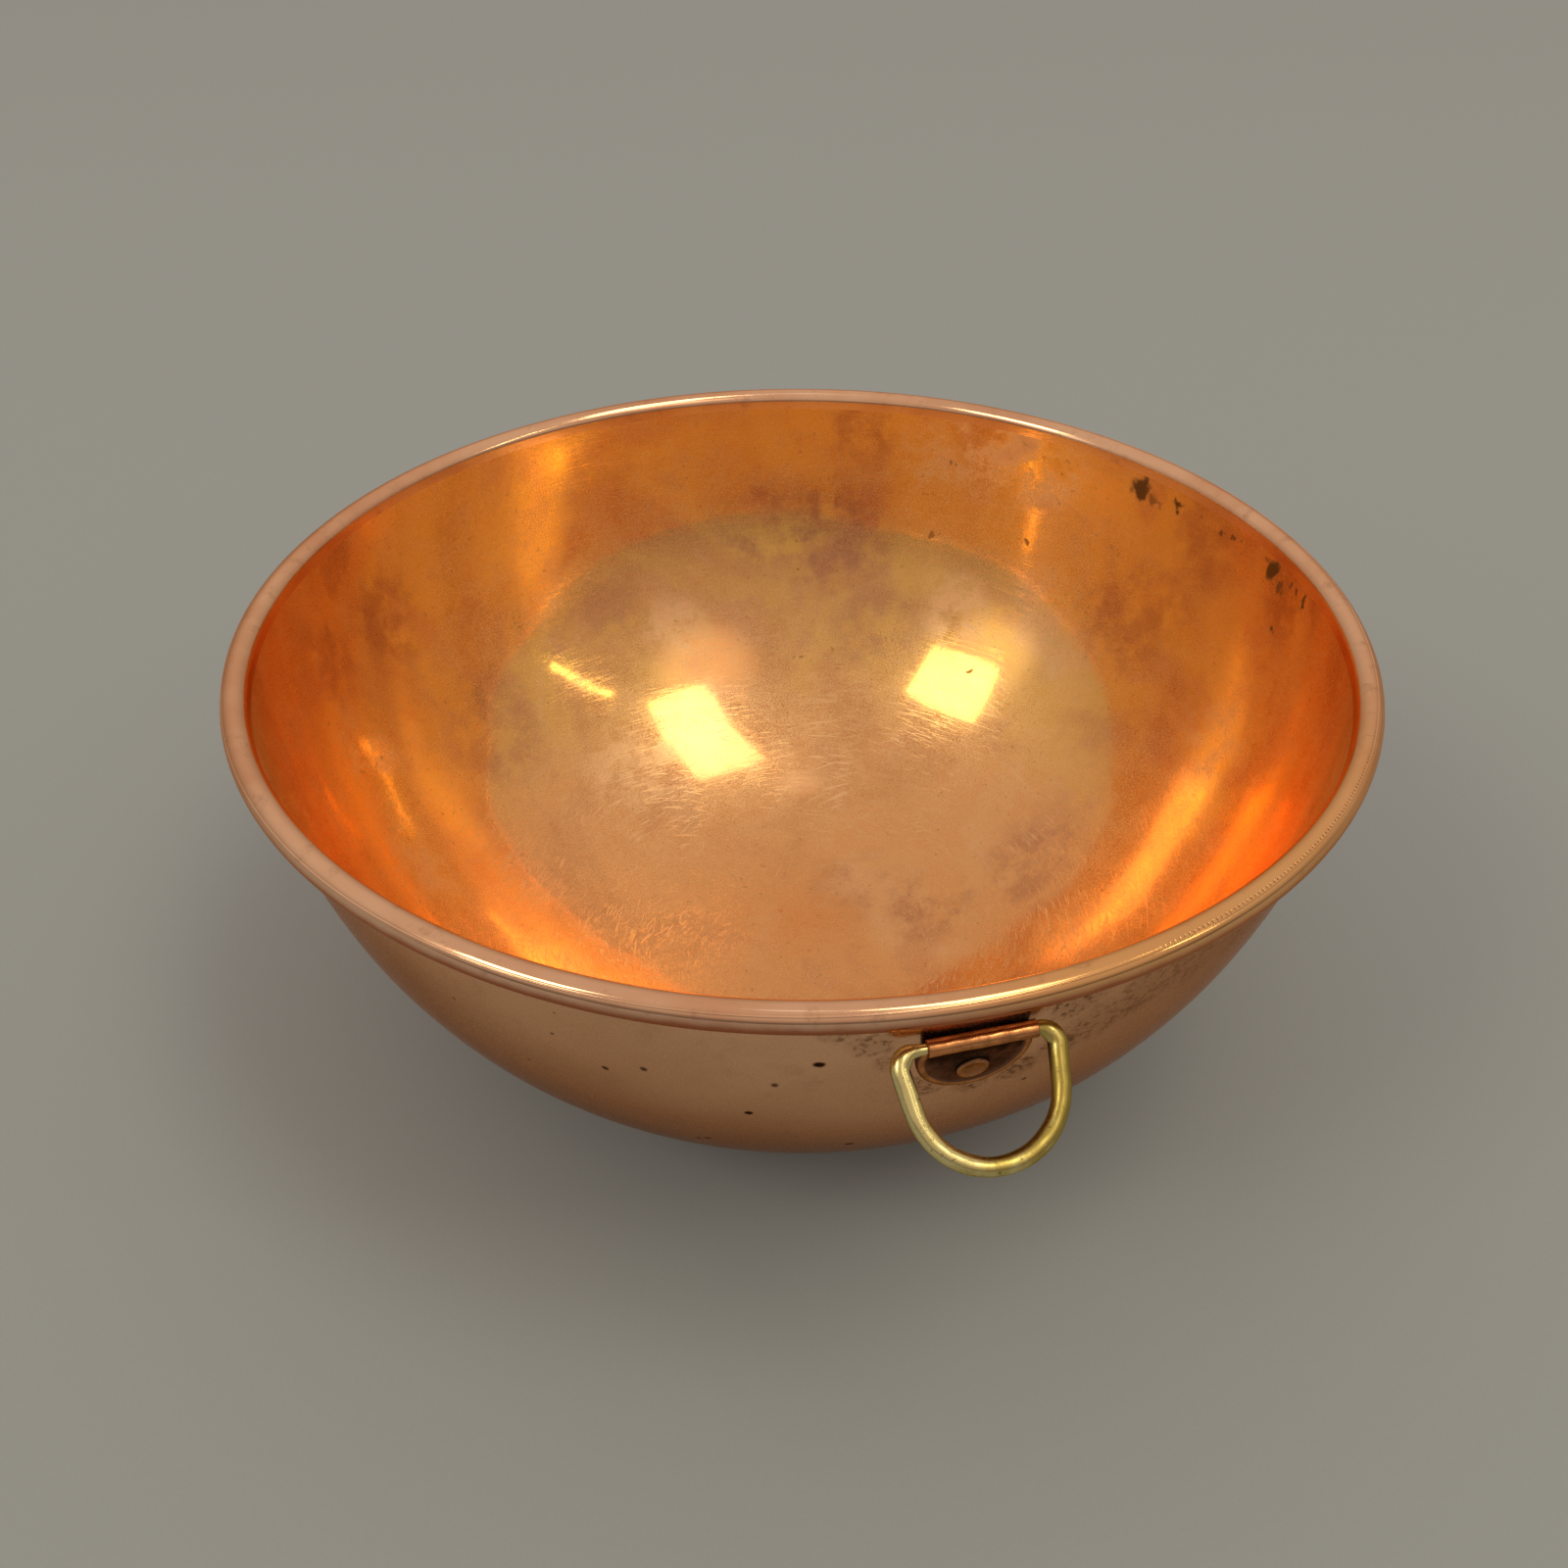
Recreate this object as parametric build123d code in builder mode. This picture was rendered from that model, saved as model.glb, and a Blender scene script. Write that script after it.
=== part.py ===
from build123d import *
from math import asin, atan, cos, degrees, radians, sin, tan
import os

# A round-bottomed spun copper bowl with a rolled rim, one folded copper lug and a brass ring.
# Millimetres and degrees. The origin is the centre of the base on the table, and +Z is up.
# The lug and its ring are on the -Y side.

# Bowl
rim_diameter = 300.0
bead_diameter = 6.8
bead_height = 124.7
sheet = 1.2
base_diameter = 60.0
wall_power = 2.45
mouth_share = 0.988
wall_run_steps = 12
curl_end_angle = -128.0

# Wire inside the rolled rim
wire_clearance = 0.05

# Lug, a disc of thin sheet folded over the ring's bar
lug_sheet = 0.6
lug_seat_gap = 0.05
lug_axis_drop = 12.4
lug_tube_length = 23.4
lug_tube_gap = 0.15
tab_width = 25.0
tab_centre_drop = 19.0
tab_edge_radius = 0.45

# Rivet
rivet_drop = 24.0
rivet_shank_diameter = 4.0
rivet_head_diameter = 7.3
rivet_head_height = 0.9
rivet_inner_head_diameter = 6.6
rivet_inner_head_height = 0.6
rivet_clearance = 0.05
rivet_seat_gap = 0.15

# Ring, a cast D that is thin in its bar and thick in its bow
bar_diameter = 2.4
bar_running_clearance = 0.08
bow_wire_diameter = 4.1
bow_radius = 15.7
bow_centre_drop = 9.3
leg_lean = 8.0
corner_radius = 3.5
ring_slide = 1.3
ring_swing = 50.0


def level_share(radius_share):
    """Depth below the belly's level, as a share of the belly's depth, at a share of the belly's radius.

    The wall's curve is the same read either way, so a depth share gives back its radius share.
    """
    return (1 - radius_share ** wall_power) ** (1 / wall_power)


# The wall's outer face is a flattened half-ellipse of turning, cut off at the base and at the mouth
bead_radius = bead_diameter / 2
curl_bore_radius = bead_radius - sheet
bead_centre_radius = rim_diameter / 2 - bead_radius
mouth_radius = bead_centre_radius - curl_bore_radius
belly_radius = mouth_radius / mouth_share
base_share = base_diameter / 2 / belly_radius
belly_depth = bead_height / (level_share(base_share) - level_share(mouth_share))
belly_height = bead_height + belly_depth * level_share(mouth_share)
cut_overrun = 2 * sheet


def wall_radius(height):
    """Outer radius of the wall at a height above the table."""
    return belly_radius * level_share((belly_height - height) / belly_depth)


def wall_lean(height):
    """Angle between the wall and the vertical at a height above the table."""
    rise = wall_radius(height + sheet) - wall_radius(height - sheet)
    return degrees(atan(rise / (2 * sheet)))


mouth_lean = wall_lean(bead_height)
mouth_way = (sin(radians(mouth_lean)), cos(radians(mouth_lean)))
base_turn = asin(base_share ** (wall_power / 2))
mouth_turn = asin(mouth_share ** (wall_power / 2))


def wall_point(radius_share, inset):
    """Radius and height of a point on the face that lies inset within the wall's outer face."""
    radius = (belly_radius - inset) * radius_share
    height = belly_height - (belly_depth - inset) * level_share(radius_share)
    return (radius, height)


def wall_run(inset):
    """Points of one face of the wall, from the base's edge to where the rim's curl begins."""
    turns = [base_turn + (mouth_turn - base_turn) * step / wall_run_steps for step in range(wall_run_steps)]
    points = [wall_point(sin(turn) ** (2 / wall_power), inset) for turn in turns]
    curl_radius = curl_bore_radius + inset
    curl_out = -curl_radius * cos(radians(mouth_lean))
    curl_up = curl_radius * sin(radians(mouth_lean))
    return [*points, (bead_centre_radius + curl_out, bead_height + curl_up)]


# Rivet's place, square to the wall
rivet_height = bead_height - rivet_drop
rivet_lean = wall_lean(rivet_height)
rivet_normal = (0, -cos(radians(rivet_lean)), -sin(radians(rivet_lean)))
rivet_foot = (0, -wall_radius(rivet_height), rivet_height)
rivet_plane = Plane(origin=rivet_foot, x_dir=(1, 0, 0), z_dir=rivet_normal)
rivet_hole_radius = rivet_shank_diameter / 2 + rivet_clearance


# Bowl, one sheet from the base to the end of its curled edge
with BuildPart() as bowl:
    with BuildSketch(Plane.XZ):
        with BuildLine():
            outer_run = wall_run(0)
            inner_run = wall_run(sheet)
            bead_centre = (bead_centre_radius, bead_height)
            curl_start_angle = 180 - mouth_lean
            curl_arc = curl_start_angle - curl_end_angle
            Line((0, outer_run[0][1]), outer_run[0])
            Spline(*outer_run, tangents=[(1, 0), mouth_way])
            curl_bore = CenterArc(bead_centre, curl_bore_radius, curl_start_angle, -curl_arc)
            curl_face = CenterArc(bead_centre, bead_radius, curl_end_angle, curl_arc)
            Line(curl_bore @ 1, curl_face @ 0)
            Spline(*inner_run, tangents=[(1, 0), mouth_way])
            Line(inner_run[0], (0, inner_run[0][1]))
            Line((0, inner_run[0][1]), (0, outer_run[0][1]))
        make_face()
    revolve(axis=Axis.Z)
    with BuildSketch(rivet_plane):
        Circle(rivet_hole_radius)
    extrude(amount=cut_overrun, both=True, mode=Mode.SUBTRACT)


# Wire core, a closed hoop that fills the curl
with BuildPart() as rim_wire:
    with BuildSketch(Plane.XZ):
        with Locations((bead_centre_radius, bead_height)):
            Circle(curl_bore_radius - wire_clearance)
    revolve(axis=Axis.Z)


# Lug's sizes, from the bar that turns in it and the wall that carries it
bar_radius = bar_diameter / 2
lug_bore_radius = bar_radius + bar_running_clearance
lug_tube_radius = lug_bore_radius + lug_sheet
lug_axis_height = bead_height - lug_axis_drop
lug_standoff = (lug_tube_radius + lug_tube_gap) / cos(radians(wall_lean(lug_axis_height)))
lug_axis_radius = wall_radius(lug_axis_height) + lug_standoff
lug_tube_end = lug_tube_length / 2
tab_radius = tab_width / 2
tab_centre_height = bead_height - tab_centre_drop
tab_bottom_height = tab_centre_height - tab_radius
tab_front = lug_seat_gap + 2 * lug_sheet


# Lug, a two-layer tab that follows the wall, rolled into a tube along its top
with BuildPart() as ring_lug:
    with BuildSketch(Plane.XZ):
        with BuildLine():
            back_run = wall_run(-lug_seat_gap)
            front_run = wall_run(-tab_front)
            Spline(*back_run, tangents=[(1, 0), mouth_way])
            Spline(*front_run, tangents=[(1, 0), mouth_way])
            Line(back_run[0], front_run[0])
            Line(back_run[-1], front_run[-1])
        make_face()
    revolve(axis=Axis.Z)
    with BuildSketch(Plane.XZ):
        with BuildLine():
            Polyline(
                (-tab_radius, tab_centre_height),
                (-lug_tube_end, lug_axis_height),
                (lug_tube_end, lug_axis_height),
                (tab_radius, tab_centre_height),
            )
            ThreePointArc(
                (-tab_radius, tab_centre_height),
                (0, tab_bottom_height),
                (tab_radius, tab_centre_height),
            )
        make_face()
    extrude(amount=rim_diameter, mode=Mode.INTERSECT)
    tab_front_face = ring_lug.faces().sort_by(Axis.Y)[0]
    fillet(tab_front_face.edges().sort_by(Axis.Z)[:-1], radius=tab_edge_radius)
    with BuildSketch(Plane.YZ.offset(-lug_tube_end)):
        with Locations((-lug_axis_radius, lug_axis_height)):
            Circle(lug_tube_radius)
    extrude(amount=lug_tube_length)
    with BuildSketch(Plane.YZ.offset(-lug_tube_length)):
        with Locations((-lug_axis_radius, lug_axis_height)):
            Circle(lug_bore_radius)
    extrude(amount=2 * lug_tube_length, mode=Mode.SUBTRACT)
    with BuildSketch(rivet_plane):
        Circle(rivet_hole_radius)
    extrude(amount=cut_overrun, both=True, mode=Mode.SUBTRACT)


# Rivet, its shank square to the wall, with a low head outside and a flatter one inside
with BuildPart() as rivet:
    rivet_section = Plane(
        origin=rivet_foot,
        x_dir=(1, 0, 0),
        z_dir=Vector(1, 0, 0).cross(Vector(*rivet_normal)),
    )
    head_seat = tab_front + rivet_seat_gap
    inner_seat = -sheet - rivet_seat_gap
    head_top = head_seat + rivet_head_height
    inner_top = inner_seat - rivet_inner_head_height
    head_radius = rivet_head_diameter / 2
    inner_head_radius = rivet_inner_head_diameter / 2
    shank_radius = rivet_shank_diameter / 2
    head_dome = (head_radius ** 2 + rivet_head_height ** 2) / (2 * rivet_head_height)
    inner_dome = (inner_head_radius ** 2 + rivet_inner_head_height ** 2) / (2 * rivet_inner_head_height)
    with BuildSketch(rivet_section):
        with BuildLine():
            RadiusArc((0, head_top), (head_radius, head_seat), head_dome)
            Polyline(
                (head_radius, head_seat),
                (shank_radius, head_seat),
                (shank_radius, inner_seat),
                (inner_head_radius, inner_seat),
            )
            RadiusArc((inner_head_radius, inner_seat), (0, inner_top), inner_dome)
            Line((0, inner_top), (0, head_top))
        make_face()
    revolve(axis=Axis(rivet_foot, rivet_normal))


# Ring's outline, in its own plane: the bar on the X axis and the bow towards +Y
lean = radians(leg_lean)
bow_wire_radius = bow_wire_diameter / 2
leg_foot = (bow_radius * cos(lean), bow_centre_drop + bow_radius * sin(lean))
leg_crossing = leg_foot[0] + leg_foot[1] * tan(lean)
corner_run = corner_radius / tan(radians(90 - leg_lean) / 2)
bar_end = (leg_crossing - corner_run, 0)
corner_end = (leg_crossing - corner_run * sin(lean), corner_run * cos(lean))
swing = radians(ring_swing)
ring_plane = Plane(
    origin=(-ring_slide, -lug_axis_radius, lug_axis_height),
    x_dir=(1, 0, 0),
    z_dir=(0, cos(swing), -sin(swing)),
)

# Ring, one half made and mirrored
with BuildPart() as brass_ring:
    with BuildSketch(Plane.YZ.offset(-ring_slide)):
        with Locations((-lug_axis_radius, lug_axis_height)):
            Circle(bar_radius)
    extrude(amount=bar_end[0])
    with BuildLine(ring_plane) as leg:
        CenterArc((bar_end[0], corner_radius), corner_radius, -90, 90 + leg_lean)
        Line(corner_end, leg_foot)
    leg_path = leg.wire()
    with BuildSketch(Plane(origin=leg_path @ 0, x_dir=ring_plane.z_dir, z_dir=leg_path % 0)):
        Circle(bar_radius)
    with BuildSketch(Plane(origin=leg_path @ 1, x_dir=ring_plane.z_dir, z_dir=leg_path % 1)):
        Circle(bow_wire_radius)
    sweep(path=leg_path, multisection=True)
    with BuildLine(ring_plane) as half_bow:
        CenterArc((0, bow_centre_drop), bow_radius, leg_lean, 90 - leg_lean)
    bow_path = half_bow.wire()
    with BuildSketch(Plane(origin=bow_path @ 0, z_dir=bow_path % 0)):
        Circle(bow_wire_radius)
    sweep(path=bow_path)
    mirror(about=Plane.YZ.offset(-ring_slide))


pieces = {
    "bowl": bowl,
    "rim_wire": rim_wire,
    "ring_lug": ring_lug,
    "rivet": rivet,
    "brass_ring": brass_ring,
}
os.makedirs("parts", exist_ok=True)
for name, piece in pieces.items():
    piece.part.label = name
    export_step(piece.part, f"parts/{name}.step")
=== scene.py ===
import math

import bpy
import numpy as np
from mathutils import Matrix, Vector


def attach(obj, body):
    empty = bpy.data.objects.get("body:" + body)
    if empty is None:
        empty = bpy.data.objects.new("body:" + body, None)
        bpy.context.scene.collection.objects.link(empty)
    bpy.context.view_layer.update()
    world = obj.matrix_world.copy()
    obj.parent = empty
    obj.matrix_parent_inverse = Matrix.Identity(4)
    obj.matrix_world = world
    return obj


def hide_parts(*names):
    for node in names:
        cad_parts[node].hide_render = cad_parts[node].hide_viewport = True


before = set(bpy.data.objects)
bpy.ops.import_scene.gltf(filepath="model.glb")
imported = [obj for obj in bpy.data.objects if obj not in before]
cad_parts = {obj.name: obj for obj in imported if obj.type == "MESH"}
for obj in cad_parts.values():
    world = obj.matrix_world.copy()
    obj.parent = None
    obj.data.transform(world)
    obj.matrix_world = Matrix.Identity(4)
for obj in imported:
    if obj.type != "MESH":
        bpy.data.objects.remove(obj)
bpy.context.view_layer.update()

# A round-bottomed spun copper bowl with a rolled rim, a folded copper lug and a cast brass ring.
# The part's sizes are in millimetres, as its maker works, and every mesh is put down in metres.
MM = 0.001


# ---- Sizes of the metalwork ----

RIM_RADIUS = 150.0
BEAD_RADIUS = 3.4
BEAD_HEIGHT = 124.7
SHEET = 1.2
BASE_RADIUS = 30.0
WALL_POWER = 2.45
MOUTH_SHARE = 0.988
CURL_END = math.radians(-128)
CHATTER_TEETH = 700.0
SOLE_RADIUS = 55.0
BOWL_TURNS = 360
CURVE_STEPS = 4000
OUTER_ROWS, INNER_ROWS, BORE_ROWS, BEAD_ROWS = 86, 96, 16, 54

# The rim's ridge: its height on the bead in degrees and how that sways round the bowl, the half of the band of
# rows that crowds round it, where that band starts and how much of the rows it takes, and its crest and groove
RIDGE_TURN, RIDGE_SWAY = 50, 16
RIDGE_HALF = math.radians(9)
RIDGE_START, RIDGE_SHARE = 0.36, 0.28
RIDGE_CREST, RIDGE_GROOVE = 0.09, 0.05
# Chatter lies beside the ridge, between these degrees from the lug
CHATTER_START, CHATTER_STOP = 13, 58
# The spun waves' height, the radius where they are in full, and the run where they end and how they fade
WAVE_HEIGHT = 0.05
WAVE_FULL, WAVE_END, WAVE_FADE = 40, 272, 12

LUG_SHEET = 0.6
LUG_SEAT = 0.05
BAR_HEIGHT = 112.3
BAR_RADIUS_OUT = 144.733
TUBE_RADIUS = 1.88
TUBE_HALF = 11.7
TAB_RADIUS = 12.5
TAB_CENTRE = 105.7
SHOULDER_DROP = 2.2
TAB_BORDER = 2.8
TAB_MIDDLE = 102.0
TAB_POINTS = 168
FILLET_DROP = 3.3
TUBE_TOUCH, TUBE_CLOSE = -80, 192
TUBE_POINTS = 120

RIVET_HEIGHT = 100.7
RIVET_HEAD = 3.65
RIVET_SHANK = 2.0
RIVET_SINK = 0.17
RIVET_POINTS = 72

BAR_THICK = 1.2
BOW_THICK = 2.05
BOW_RADIUS = 15.7
BOW_DROP = 9.3
LEG_LEAN = math.radians(8)
CORNER = 3.5
SWELL_WIDE, SWELL_DEEP = 12.2, 6.5
SWELL_START, SWELL_SHARE = 0.92, 0.42
RING_SLIDE = 1.3
RING_POINTS, RING_SIDES = 300, 28
RING_SWING = math.radians(50)

BEAD_CENTRE = RIM_RADIUS - BEAD_RADIUS
CURL_BORE = BEAD_RADIUS - SHEET
BELLY_RADIUS = (BEAD_CENTRE - CURL_BORE) / MOUTH_SHARE


def level_share(radius_share):
    """Depth share at a radius share: (1 - share^power)^(1/power), the curve of the wall."""
    return (1 - radius_share ** WALL_POWER) ** (1 / WALL_POWER)


BELLY_DEPTH = BEAD_HEIGHT / (level_share(BASE_RADIUS / BELLY_RADIUS) - level_share(MOUTH_SHARE))
BELLY_HEIGHT = BEAD_HEIGHT + BELLY_DEPTH * level_share(MOUTH_SHARE)


def wall_radius(height, inset=0.0):
    """Radius of the wall's face at a height, the wall's curve read the other way."""
    return (BELLY_RADIUS - inset) * level_share((BELLY_HEIGHT - height) / (BELLY_DEPTH - inset))


# ---- Mesh making ----

def put_down(name, points, faces, body, materials, face_slots=None, **fields):
    """A mesh of points in millimetres, smooth shaded, riding on a body.

    Every further field holds one number per point, which the finish reads by the field's name.
    """
    mesh = bpy.data.meshes.new(name)
    mesh.from_pydata((points * MM).tolist(), [], faces.tolist())
    for material in materials:
        mesh.materials.append(material)
    mesh.polygons.foreach_set("use_smooth", np.ones(len(faces), dtype=bool))
    if face_slots is not None:
        mesh.polygons.foreach_set("material_index", face_slots)
    for field, values in fields.items():
        layer = mesh.attributes.new(field, "FLOAT", "POINT")
        layer.data.foreach_set("value", values.ravel())
    piece = bpy.data.objects.new(name, mesh)
    bpy.context.scene.collection.objects.link(piece)
    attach(piece, body)
    return piece


def grid_faces(rows, columns, closed_rows=False, closed_columns=False):
    """Corner numbers of every cell of a grid of points, wrapped round where a direction is closed."""
    row = np.arange(rows if closed_rows else rows - 1)[:, None]
    column = np.arange(columns if closed_columns else columns - 1)[None, :]
    next_row, next_column = (row + 1) % rows, (column + 1) % columns
    corners = [row * columns + column, row * columns + next_column,
               next_row * columns + next_column, next_row * columns + column]
    return np.stack(np.broadcast_arrays(*corners), axis=-1).reshape(-1, 4)


def capped_faces(rows, columns, turned=False):
    """A grid closed round its columns, with a fan of triangles over its first row and its last.

    The two fans' middle points follow the grid's own. Turned, every face looks to the other side.
    """
    here = np.arange(columns)
    beyond, last = (here + 1) % columns, (rows - 1) * columns
    ahead, behind = (here, beyond) if turned else (beyond, here)
    first_fan = np.stack([np.full(columns, rows * columns), ahead, behind], axis=1)
    last_fan = np.stack([np.full(columns, rows * columns + 1), last + behind, last + ahead], axis=1)
    cells = grid_faces(rows, columns, closed_columns=True)[:, ::-1 if turned else 1]
    return np.array(cells.tolist() + first_fan.tolist() + last_fan.tolist(), dtype=object)


def with_middles(points, rows):
    """The points of a grid, and after them the middle of its first row and of its last."""
    ends = points.reshape(rows, -1, 3)[[0, -1]].mean(axis=1)
    return np.concatenate([points.reshape(-1, 3), ends])


def smooth(share):
    """The smooth step 3 share^2 - 2 share^3 of a share between 0 and 1."""
    return share * share * (3 - 2 * share)


def unit(ways):
    """Each row of a table of directions, made one long."""
    return ways / np.linalg.norm(ways, axis=1)[:, None]


def evenly(points, count):
    """Points spaced evenly by length along a finely drawn curve."""
    length = np.concatenate([[0], np.cumsum(np.linalg.norm(np.diff(points, axis=0), axis=1))])
    at = np.linspace(0, length[-1], count)
    return np.stack([np.interp(at, length, points[:, axis]) for axis in range(points.shape[1])], axis=1)


# ---- Finishes ----

class Graph:
    """A tree of shader nodes. Every method adds a node and gives back what comes out of it."""

    def __init__(self, tree):
        self.tree = tree

    def add(self, kind, *inputs, **settings):
        made = self.tree.nodes.new(kind)
        for setting, value in settings.items():
            setattr(made, setting, value)
        for socket, value in zip(made.inputs, inputs):
            self.feed(socket, value)
        return made

    def feed(self, socket, value):
        """Joins a socket to what comes out of another node, or sets it to a plain value."""
        if isinstance(value, bpy.types.NodeSocket):
            self.tree.links.new(value, socket)
        elif value is not None:
            socket.default_value = value

    def sum(self, operation, *inputs):
        return self.add("ShaderNodeMath", *inputs, operation=operation).outputs[0]

    def times(self, first, second):
        return self.sum("MULTIPLY", first, second)

    def plus(self, value, gain, rest):
        """value x gain + rest"""
        return self.sum("MULTIPLY_ADD", value, gain, rest)

    def most(self, first, second):
        """The larger of two values, where there are two."""
        return second if first is None else self.sum("MAXIMUM", first, second)

    def vector(self, operation, *inputs):
        made = self.add("ShaderNodeVectorMath", *inputs, operation=operation)
        return made.outputs["Value" if operation in ("DISTANCE", "LENGTH", "DOT_PRODUCT") else "Vector"]

    def span(self, value, low, high, out_low=0.0, out_high=1.0):
        """A smooth step from one value to another as the input goes from low to high."""
        made = self.add("ShaderNodeMapRange", value, low, high, out_low, out_high,
                        interpolation_type="SMOOTHSTEP")
        return made.outputs[0]

    def blend(self, share, first, second):
        made = self.add("ShaderNodeMix", data_type="RGBA")
        for socket, value in zip((made.inputs[0], made.inputs[6], made.inputs[7]), (share, first, second)):
            self.feed(socket, value)
        return made.outputs[2]

    def coats(self, colour, *coats):
        """A colour with others laid over it one by one, each by its own share."""
        for share, tone in coats:
            colour = self.blend(share, colour, tone)
        return colour


class Finish(Graph):
    """One procedural finish, on object coordinates, and round the bowl's axis where the work was turned."""

    LINE_EDGE = 0.08
    MARK_EDGE, MARK_CORE = 1.25, 0.55

    def __init__(self, name, metallic=1.0, **shares):
        self.material = bpy.data.materials.new(name)
        self.material.use_nodes = True
        super().__init__(self.material.node_tree)
        self.shader = self.tree.nodes["Principled BSDF"]
        self.shader.inputs["Metallic"].default_value = metallic
        for socket, share in shares.items():
            self.shader.inputs[socket.replace("_", " ")].default_value = share
        self.place = self.add("ShaderNodeTexCoord").outputs["Object"]
        self.x, self.y, self.z = self.add("ShaderNodeSeparateXYZ", self.place).outputs
        flat = self.add("ShaderNodeCombineXYZ", self.x, self.y, 0.0).outputs[0]
        self.way_x, self.way_y, _ = self.add("ShaderNodeSeparateXYZ", self.vector("NORMALIZE", flat)).outputs
        self.radius = self.vector("LENGTH", flat)
        self.run = self.sum("ADD", self.radius, self.z)

    def noise(self, place, scale, detail=3.0, rough=0.5, twist=0.0, out="Fac"):
        made = self.add("ShaderNodeTexNoise")
        for socket, value in (("Vector", place), ("Scale", scale), ("Detail", detail),
                              ("Roughness", rough), ("Distortion", twist)):
            self.feed(made.inputs[socket], value)
        return made.outputs[out]

    def field(self, name):
        return self.add("ShaderNodeAttribute", attribute_name=name).outputs["Fac"]

    def moved(self, place, way, reach):
        """place + way x reach"""
        return self.vector("ADD", place, self.vector("SCALE", way, None, None, reach))

    def round_the_axis(self, round_scale, along_scale, lift=0.0, run=None):
        """Coordinates that run round the bowl's axis slowly and along its wall quickly, for turned lines."""
        return self.add(
            "ShaderNodeCombineXYZ",
            self.times(self.way_x, round_scale),
            self.times(self.way_y, round_scale),
            self.plus(self.run if run is None else run, along_scale, lift),
        ).outputs[0]

    def scratches(self, turns, along_scale, across_scale, share):
        """Hair scratches in several directions over the wall rolled out flat: thin noise, cut off."""
        spread = self.add("ShaderNodeCombineXYZ", self.times(self.way_x, self.run),
                          self.times(self.way_y, self.run), 0.0).outputs[0]
        spread = self.moved(spread, self.noise(self.place, 20.0, 2.0, out="Color"), 0.012)
        found = None
        for turn in turns:
            turned = self.add("ShaderNodeMapping", spread, (0.0, 0.0, 7.0 * turn), (0.0, 0.0, turn)).outputs[0]
            stretch = (along_scale, across_scale, 1.0)
            thin = self.add("ShaderNodeMapping", turned, None, None, stretch).outputs[0]
            line = self.span(self.noise(thin, 1.0, 1.0), share, share + self.LINE_EDGE)
            found = self.most(found, line)
        return found

    def rubbings(self, layers, round_scale, along_scale, share):
        """Short arcs round the bowl's axis: thin noise over the way round and the run up the wall.

        Each layer's run is run + reach x slow noise, so that the arcs of two layers cross.
        """
        found = None
        for lift, reach in layers:
            slow = self.noise(self.vector("ADD", self.place, (lift, 0.0, 0.0)), 16.0, 0.0)
            run = self.plus(slow, reach, self.run)
            spread = self.round_the_axis(round_scale, along_scale, 31.0 * lift, run)
            line = self.span(self.noise(spread, 1.0, 1.0), share, share + self.LINE_EDGE)
            found = self.most(found, line)
        return found

    def warped(self, scale, reach):
        """Object coordinates shaken by noise, so that what is drawn on them gets an uneven edge."""
        shake = self.noise(self.place, scale, out="Color")
        return self.moved(self.place, self.vector("SUBTRACT", shake, (0.5, 0.5, 0.5)), reach)

    def marks(self, place, table, broken=None):
        """Round marks with soft edges, each with its place and size in millimetres and its strength.

        The strongest mark counts where two meet. A noise given as broken eats holes in them.
        """
        found = None
        for x, y, z, size, strength in table:
            gap = self.vector("DISTANCE", place, (x * MM, y * MM, z * MM))
            mark = self.span(gap, size * self.MARK_EDGE * MM, size * self.MARK_CORE * MM, 0.0, strength)
            found = self.most(found, mark)
        return found if broken is None else self.times(found, self.span(broken, 0.38, 0.62))

    def done(self, colour, rough, height=None, depth=None):
        """Gives the shader its colour, its roughness and, with a height, relief of a depth in metres."""
        self.feed(self.shader.inputs["Base Color"], colour)
        self.feed(self.shader.inputs["Roughness"], rough)
        if height is not None:
            bump = self.add("ShaderNodeBump")
            for socket, value in (("Strength", 1.0), ("Distance", depth), ("Height", height)):
                self.feed(bump.inputs[socket], value)
            self.feed(self.shader.inputs["Normal"], bump.outputs[0])
        return self.material


def rgb(red, green, blue):
    return (red, green, blue, 1.0)


# Colours of the scoured inside, from the bare metal to what dulls or darkens it
COPPER_SOLE, COPPER_WALL = rgb(0.94, 0.43, 0.165), rgb(0.97, 0.53, 0.13)
CLOUD_DARK, CLOUD_PALE = rgb(0.74, 0.31, 0.12), rgb(0.99, 0.57, 0.30)
PATCH_BROWN, BLOOM_PURPLE = rgb(0.76, 0.33, 0.16), rgb(0.55, 0.21, 0.11)
RUBBED_PINK, WORN_PALE = rgb(1.0, 0.66, 0.40), rgb(0.97, 0.66, 0.38)
MOTTLE_BROWN, PIT_BROWN = rgb(0.66, 0.27, 0.12), rgb(0.40, 0.17, 0.05)
SPOT_BROWN, STAIN_BLACK = rgb(0.42, 0.17, 0.05), rgb(0.12, 0.065, 0.02)

# Colours outside, of the rim, the lug, the ring, the hidden wire and the floor
OUTER_PINK, OUTER_DULL = rgb(0.97, 0.56, 0.33), rgb(0.84, 0.46, 0.26)
OUTER_MOTTLE, OUTER_FOOT_SHADE = rgb(0.62, 0.32, 0.19), rgb(0.38, 0.18, 0.11)
OUTER_BROWN, OUTER_DIRT_AND_SHADE = rgb(0.42, 0.22, 0.12), rgb(0.15, 0.065, 0.028)
SPECK_BLACK = rgb(0.045, 0.02, 0.014)
RIM_PINK, RIM_DULL, RIM_REFLECTED_ORANGE = rgb(1.0, 0.62, 0.42), rgb(0.84, 0.44, 0.27), rgb(0.98, 0.52, 0.20)
RIM_UNDERSIDE_SHADE, RIM_MOTTLE, RIM_TEETH = rgb(0.50, 0.17, 0.085), rgb(0.50, 0.26, 0.15), rgb(0.25, 0.11, 0.06)
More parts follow.
